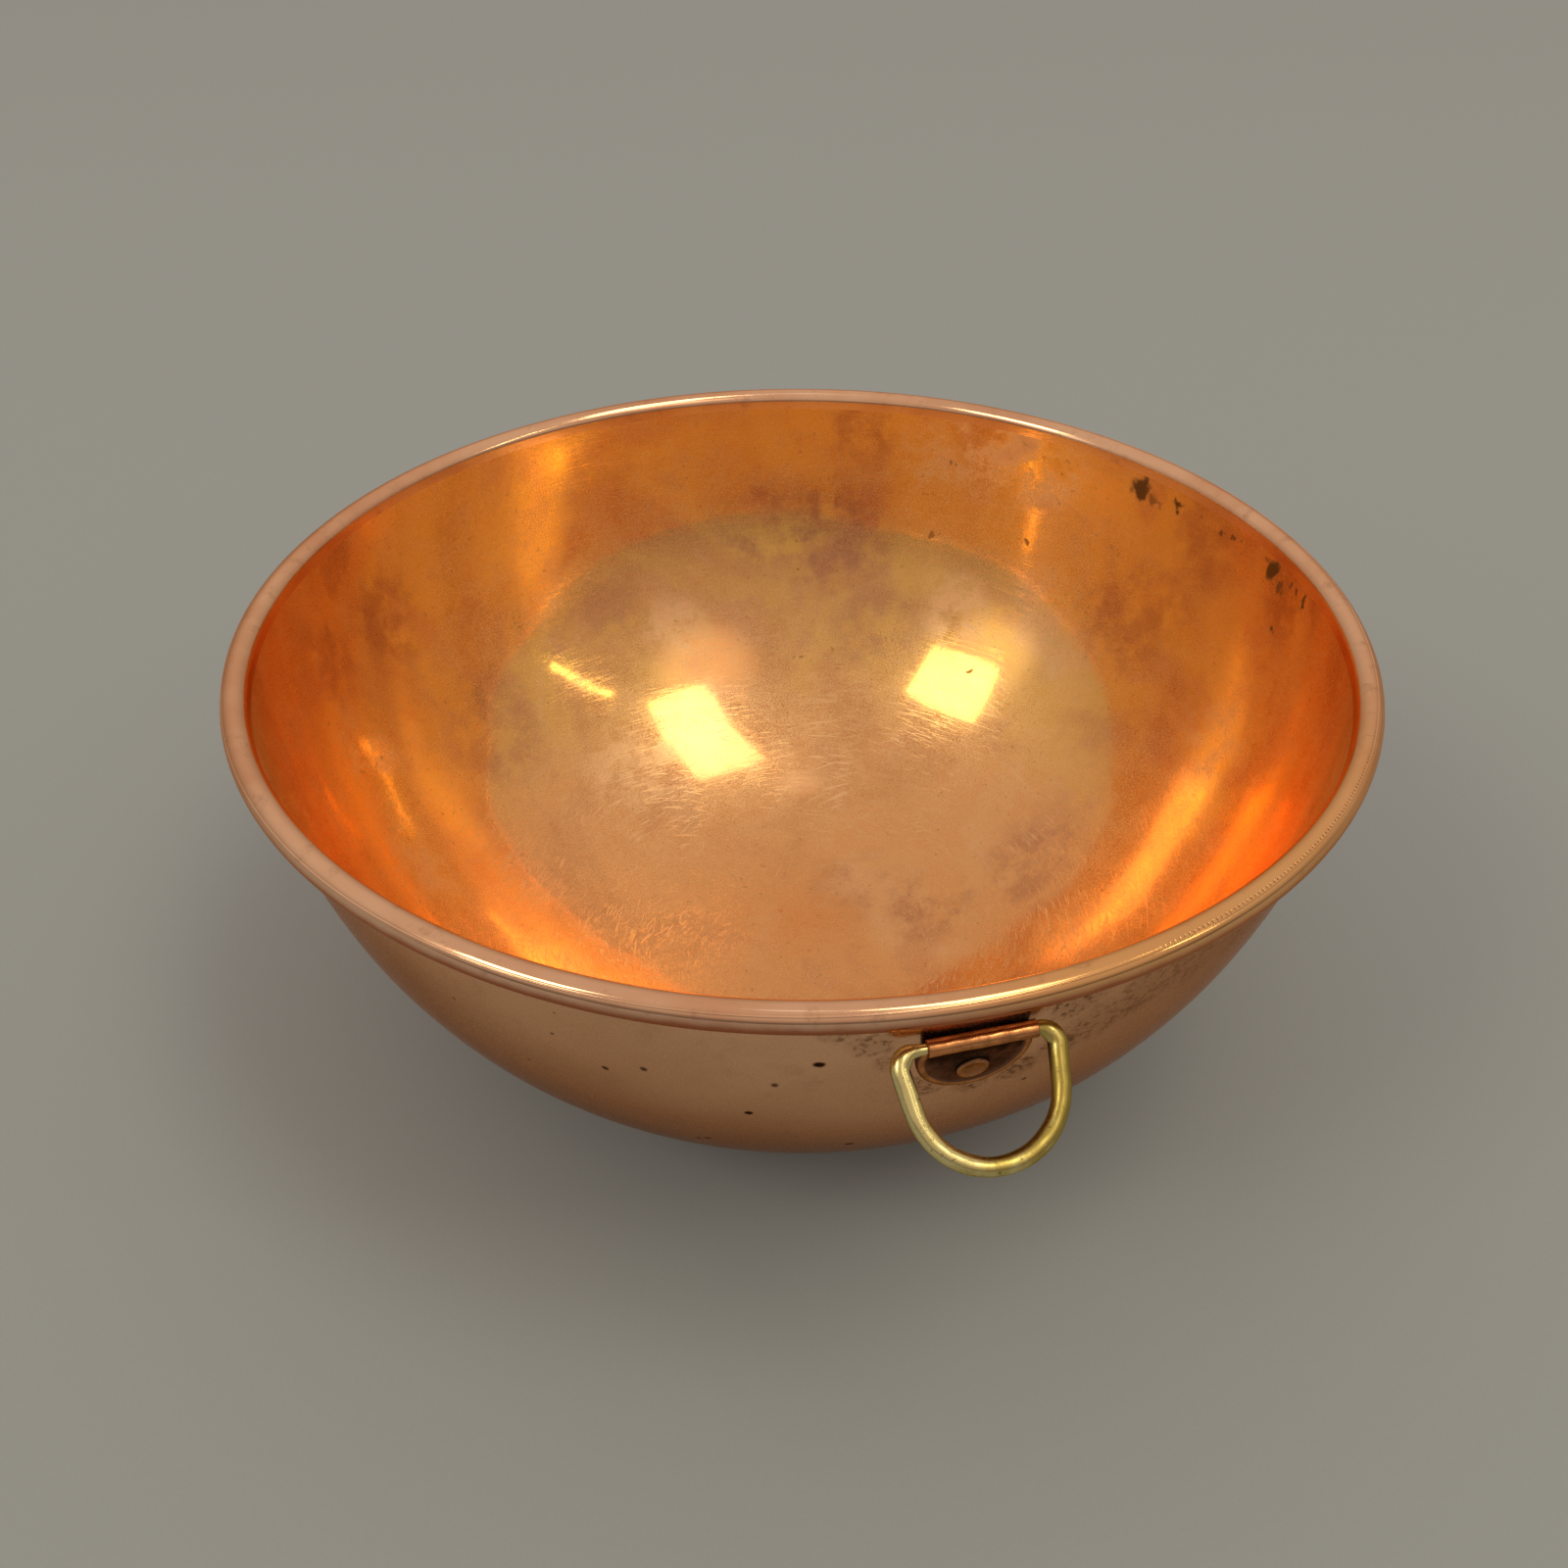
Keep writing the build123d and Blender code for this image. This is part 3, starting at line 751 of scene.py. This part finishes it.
def tube_outline():
    """Outline round the bar, as distance from the bowl's axis and height.

    A parabola goes from the tab's front to the tube's underside, then comes the tube's circle, and then the
    way down the wall.
    """
    foot_height, back_height = BAR_HEIGHT - FILLET_DROP, BAR_HEIGHT - FILLET_DROP - 0.3
    foot = np.array([wall_radius(foot_height) + LUG_SEAT + 2 * LUG_SHEET - 0.02, foot_height])
    lean = math.radians(TUBE_TOUCH)
    touch = np.array([BAR_RADIUS_OUT + TUBE_RADIUS * math.cos(lean), BAR_HEIGHT + TUBE_RADIUS * math.sin(lean)])
    bend = np.array([foot[0] + 0.2, touch[1] - (touch[0] - foot[0] - 0.2) * math.tan(math.pi / 2 + lean)])
    t = np.linspace(0, 1, 30)[:, None]
    fillet = (1 - t) ** 2 * foot + 2 * t * (1 - t) * bend + t ** 2 * touch
    swing = np.radians(np.linspace(TUBE_TOUCH, TUBE_CLOSE, 160))
    circle = np.stack([BAR_RADIUS_OUT + TUBE_RADIUS * np.cos(swing),
                       BAR_HEIGHT + TUBE_RADIUS * np.sin(swing)], axis=1)
    behind = np.array([[wall_radius(back_height) + LUG_SEAT, back_height], foot])
    return evenly(np.concatenate([fillet, circle[1:], behind]), TUBE_POINTS + 1)[:-1]


def make_tube(finish):
    """The rolled top of the fold: its outline carried along X, with a round bore and rounded ends.

    What lies low bends with the wall, bent = smooth step of height, and the tube itself is straight. The
    outline wobbles by sines of X and of the angle round the bar. Painted shade lies under the bar and behind
    it.
    """
    outline = tube_outline()
    toward_axis = np.array([BAR_RADIUS_OUT, BAR_HEIGHT]) - outline
    away = np.linalg.norm(toward_axis, axis=1)[:, None]
    toward_axis /= away
    bore = TUBE_RADIUS - LUG_SHEET
    ends = np.array([(-TUBE_HALF, 0.16), (-TUBE_HALF + 0.05, 0.05), (-TUBE_HALF + 0.16, 0.0)])
    middle = np.linspace(-TUBE_HALF + 0.3, TUBE_HALF - 0.3, 44)
    x = np.concatenate([ends[:, 0], middle, -ends[::-1, 0]])
    inset = np.concatenate([ends[:, 1], np.zeros(len(middle)), ends[::-1, 1]])
    round_bar = np.arctan2(-toward_axis[:, 1], -toward_axis[:, 0])
    wobble = 0.035 * np.sin(0.55 * x + 1.1)[:, None]
    wobble = wobble + 0.02 * np.sin(1.3 * x)[:, None] * np.sin(3 * round_bar)[None, :]
    moved = outline[None] + toward_axis[None] * (inset[:, None] - wobble)[..., None]
    hole = outline + toward_axis * (away - bore)
    hole_lip = outline + toward_axis * (away - bore - 0.08)
    section = np.concatenate([moved, np.stack([hole_lip, hole, hole, hole_lip])])
    x = np.concatenate([x, [TUBE_HALF, TUBE_HALF - 0.08, -TUBE_HALF + 0.08, -TUBE_HALF]])[:, None]
    out, height = section[..., 0], section[..., 1]
    points = bent_to_wall(x, out, height, smooth(np.clip((BAR_HEIGHT - 1.6 - height) / 1.6, 0, 1)))
    faces = grid_faces(len(section), TUBE_POINTS, closed_rows=True, closed_columns=True)[:, ::-1]
    # Painted shade under the bar and behind it
    low = np.clip((BAR_HEIGHT - 1.2 - height) / 1.2, 0, 1)
    hidden = np.clip((BAR_RADIUS_OUT - 0.8 - out) / 0.8, 0, 1)
    return put_down("lug_tube", points.reshape(-1, 3), faces, "bowl_body", [finish],
                    grime=0.75 * np.maximum(low, hidden))


def make_rivet(finish):
    """A rivet turned round an axis square to the wall: an outer head with a raised border, shank, inner head.

    The profile's rows are the distance from the rivet's axis and the distance out from the wall's face.
    """
    seat = LUG_SEAT + 2 * LUG_SHEET - RIVET_SINK
    inner_seat = -SHEET - 0.15
    profile = np.array([
        (0.02, seat + 0.62), (0.9, seat + 0.62), (1.7, seat + 0.64), (2.2, seat + 0.71), (2.6, seat + 0.79),
        (2.95, seat + 0.82), (3.2, seat + 0.76), (3.45, seat + 0.60), (3.6, seat + 0.36),
        (RIVET_HEAD, seat + 0.12), (3.6, seat), (RIVET_SHANK, seat), (RIVET_SHANK, inner_seat),
        (3.2, inner_seat), (3.3, inner_seat - 0.08), (3.1, inner_seat - 0.26), (2.4, inner_seat - 0.44),
        (1.4, inner_seat - 0.56), (0.02, inner_seat - 0.6),
    ])
    turn = np.arange(RIVET_POINTS) * 2 * np.pi / RIVET_POINTS
    rise = wall_radius(RIVET_HEIGHT + SHEET) - wall_radius(RIVET_HEIGHT - SHEET)
    lean = math.atan(rise / (2 * SHEET))
    out = np.array([0, -math.cos(lean), -math.sin(lean)])
    up = np.array([0, -math.sin(lean), math.cos(lean)])
    side = np.array([1.0, 0, 0])
    from_axis, from_wall = profile[:, :1], profile[:, 1:]
    reach = from_axis * (1 + 0.02 * np.sin(2 * turn + 0.6) + 0.012 * np.sin(5 * turn))
    stand = from_wall + 0.04 * np.sin(turn + 2.2) * (from_axis / RIVET_HEAD) * (from_wall > seat + 0.05)
    points = (np.array([0, -wall_radius(RIVET_HEIGHT), RIVET_HEIGHT]) + stand[..., None] * out
              + (reach * np.cos(turn))[..., None] * side + (reach * np.sin(turn))[..., None] * up)
    reach_of = np.repeat(profile[:, 0], RIVET_POINTS)
    outer = np.repeat(profile[:, 1] > 0, RIVET_POINTS)
    grime = outer * np.where(reach_of < 2.2, 0.13, np.where(reach_of > 3.55, 0.6, 0.1))
    piece = put_down("rivet_set", with_middles(points, len(profile)),
                     capped_faces(len(profile), RIVET_POINTS, turned=True), "bowl_body", [finish],
                     grime=np.concatenate([grime, [0.22, 0.0]]))
    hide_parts("rivet")


# ---- Ring ----

def ring_path(count):
    """The ring's closed middle line in its own plane: bar, corner, leg, bow and back, spaced evenly."""
    foot = np.array([BOW_RADIUS * math.cos(LEG_LEAN), BOW_DROP + BOW_RADIUS * math.sin(LEG_LEAN)])
    crossing = foot[0] + foot[1] * math.tan(LEG_LEAN)
    bar_end = crossing - CORNER / math.tan((math.pi / 2 - LEG_LEAN) / 2)
    turn = np.linspace(-math.pi / 2, LEG_LEAN, 60)
    corner = np.stack([bar_end + CORNER * np.cos(turn), CORNER + CORNER * np.sin(turn)], axis=1)
    sweep = np.linspace(LEG_LEAN, math.pi / 2, 200)
    bow = np.stack([BOW_RADIUS * np.cos(sweep), BOW_DROP + BOW_RADIUS * np.sin(sweep)], axis=1)
    half = np.concatenate([[[0, 0]], corner, bow])
    whole = np.concatenate([half, half[::-1][1:] * [-1, 1]])
    return evenly(whole, count + 1)[:-1]


def make_ring(brass):
    """A round section carried round the ring's path.

    Its radius is the bar's on the bar and swells to the bow's over the corner: bar + (bow - bar) x smooth
    step of the distance from the bar's middle, counted in an ellipse of SWELL_WIDE by SWELL_DEEP. Low sines of
    the way round make it as uneven as a cast ring.
    """
    path = ring_path(RING_POINTS)
    ahead = unit(np.roll(path, -1, axis=0) - np.roll(path, 1, axis=0))
    side = np.stack([ahead[:, 1], -ahead[:, 0]], axis=1)
    from_bar = np.hypot(path[:, 0] / SWELL_WIDE, path[:, 1] / SWELL_DEEP)
    past = np.clip((from_bar - SWELL_START) / SWELL_SHARE, 0, 1)
    thick = BAR_THICK + (BOW_THICK - BAR_THICK) * smooth(past)
    way = (np.arange(RING_POINTS) / RING_POINTS * 2 * np.pi)[:, None]
    round_angle = np.arange(RING_SIDES) / RING_SIDES * 2 * np.pi
    uneven = 1 + past[:, None] * (
        0.020 * np.sin(5 * way + 1.3) + 0.012 * np.sin(11 * way + 2 * round_angle)
        + 0.005 * np.sin(23 * way - round_angle + 0.5)
    )
    radius = thick[:, None] * uneven
    across = radius * np.cos(round_angle)
    rise = radius * np.sin(round_angle)
    x = path[:, :1] + side[:, :1] * across
    drop = path[:, 1:] + side[:, 1:] * across
    down, out = math.cos(RING_SWING), math.sin(RING_SWING)
    points = np.stack([
        x - RING_SLIDE,
        -BAR_RADIUS_OUT - drop * out - rise * down,
        BAR_HEIGHT - drop * down + rise * out,
    ], axis=-1).reshape(-1, 3)
    faces = grid_faces(RING_POINTS, RING_SIDES, closed_rows=True, closed_columns=True)
    piece = put_down("cast_ring", points, faces, "ring_body", [brass])
    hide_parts("brass_ring")


# ---- Camera, floor and light ----

# The lens on its frame in millimetres, and the camera's place in metres and turns in degrees
LENS, LENS_FRAME = 34.875, 36.0
CAMERA_PLACE = (-0.09011, -0.33986, 0.33816)
CAMERA_TURNS = (52.58284, -0.00662, -14.11323)
FLOOR_HALF = 6.0
FLOOR_ROUGH = 0.8
LAMP_DISTANCE = 6.0
# What the lamps face, in metres
AIM = Vector((0, 0, 0.06))
# The room's greys by the upward part of the direction, behind the bowl and before it: place, grey
GREYS_BEHIND = ((0.0, 0.34), (0.25, 0.50), (0.6, 0.56), (1.0, 0.58))
GREYS_BEFORE = ((0.0, 0.08), (0.2, 0.16), (0.34, 0.48), (1.0, 0.58))
# Soft glows on the room's walls: azimuth, elevation, inner and outer angle from their middle, brightness
ROOM_GLOWS = ((-106.0, 29.5, 1.0, 14.0, 1.2), (160.0, 45.5, 1.0, 16.0, 1.25))
# Lamps: name, azimuth and elevation of both ends, width in degrees, brightness, colour
LAMPS = (
    ("window_right", (143.9, 51.5), (110.4, 78.7), 15.0, 3.9, (1.0, 0.95, 0.66)),
    ("window_left", (-121.5, 45.9), (-96.0, 42.0), 16.0, 4.0, (1.0, 0.95, 0.66)),
    ("thin_lamp", (117.3, 25.8), (126.3, 40.3), 1.7, 6.0, (1.0, 0.9, 0.5)),
)


def make_camera():
    """The camera, where the photograph was taken from."""
    lens = bpy.data.cameras.new("camera")
    lens.lens = LENS
    lens.sensor_width = LENS_FRAME
    lens.sensor_fit = "HORIZONTAL"
    camera = bpy.data.objects.new("camera", lens)
    camera.location = CAMERA_PLACE
    camera.rotation_euler = [math.radians(turn) for turn in CAMERA_TURNS]
    bpy.context.scene.collection.objects.link(camera)
    bpy.context.scene.camera = camera


def toward(azimuth, elevation):
    """The direction that the bowl sees something in: azimuth from +Y towards +X, elevation above the floor."""
    a, e = math.radians(azimuth), math.radians(elevation)
    return Vector((math.cos(e) * math.sin(a), math.cos(e) * math.cos(a), math.sin(e)))


def make_light(name, start, end, width, brightness, colour):
    """A flat lamp that faces the bowl's middle and reaches from one direction to another.

    Its power is brightness x pi x area, so it looks equally bright whatever its size.
    """
    first, last = toward(*start) * LAMP_DISTANCE, toward(*end) * LAMP_DISTANCE
    out = ((first + last) / 2).normalized()
    along = (last - first).normalized()
    across = along.cross(out).normalized()
    lamp = bpy.data.lights.new(name, "AREA")
    lamp.shape = "RECTANGLE"
    lamp.size = math.radians(width) * LAMP_DISTANCE
    lamp.size_y = (last - first).length
    lamp.energy = brightness * math.pi * lamp.size * lamp.size_y
    lamp.color = colour
    light = bpy.data.objects.new(name, lamp)
    frame_axes = Matrix((across, out.cross(across), out)).transposed()
    light.matrix_world = Matrix.Translation(out * LAMP_DISTANCE + AIM) @ frame_axes.to_4x4()
    bpy.context.scene.collection.objects.link(light)


def make_floor():
    """A plain pale floor, large enough to fill the view."""
    finish = Finish("floor_paint", metallic=0.0, Roughness=FLOOR_ROUGH)
    grain = finish.noise(finish.place, 900.0, 2.0)
    finish.done(finish.blend(grain, FLOOR_DARK, FLOOR_PALE), FLOOR_ROUGH)
    mesh = bpy.data.meshes.new("floor")
    corners = [(-FLOOR_HALF, -FLOOR_HALF, 0), (FLOOR_HALF, -FLOOR_HALF, 0),
               (FLOOR_HALF, FLOOR_HALF, 0), (-FLOOR_HALF, FLOOR_HALF, 0)]
    mesh.from_pydata(corners, [], [(0, 1, 2, 3)])
    mesh.materials.append(finish.material)
    floor = bpy.data.objects.new("floor", mesh)
    bpy.context.scene.collection.objects.link(floor)


def make_studio():
    """A soft warm grey room, lighter behind the bowl than before it, with glows, two windows and a lamp."""
    world = bpy.data.worlds.new("studio")
    world.use_nodes = True
    room = Graph(world.node_tree)
    way = room.add("ShaderNodeTexCoord").outputs["Generated"]
    _, away, up = room.add("ShaderNodeSeparateXYZ", way).outputs
    sides = []
    for stops in (GREYS_BEHIND, GREYS_BEFORE):
        ramp = room.add("ShaderNodeValToRGB", up)
        grades = ramp.color_ramp.elements
        for grade, (place, grey) in zip([*grades, *(grades.new(0.5) for _ in stops[2:])], stops):
            grade.position = place
            grade.color = rgb(grey, 0.84 * grey, 0.66 * grey)
        sides.append(ramp.outputs[0])
    seen = room.blend(room.span(away, 0.25, -0.65), *sides)
    for azimuth, elevation, inner, outer, glow in ROOM_GLOWS:
        near = room.vector("DOT_PRODUCT", way, toward(azimuth, elevation))
        lit = room.span(near, math.cos(math.radians(outer)), math.cos(math.radians(inner)))
        seen = room.blend(lit, seen, rgb(glow, 0.88 * glow, 0.66 * glow))
    room.feed(world.node_tree.nodes["Background"].inputs["Color"], seen)
    bpy.context.scene.world = world
    for lamp in LAMPS:
        make_light(*lamp)
    bpy.context.scene.view_settings.view_transform = "Standard"


make_camera()
make_floor()
make_studio()
make_bowl(inside_copper(), outside_copper(), rim_copper())
lug_finish = lug_copper()
for piece in (make_tab(lug_finish), make_tube(lug_finish)):
    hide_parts("ring_lug")
make_rivet(lug_finish)
make_ring(ring_brass())
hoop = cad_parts["rim_wire"]
hoop.data.materials.clear()
hoop.data.materials.append(rim_steel())
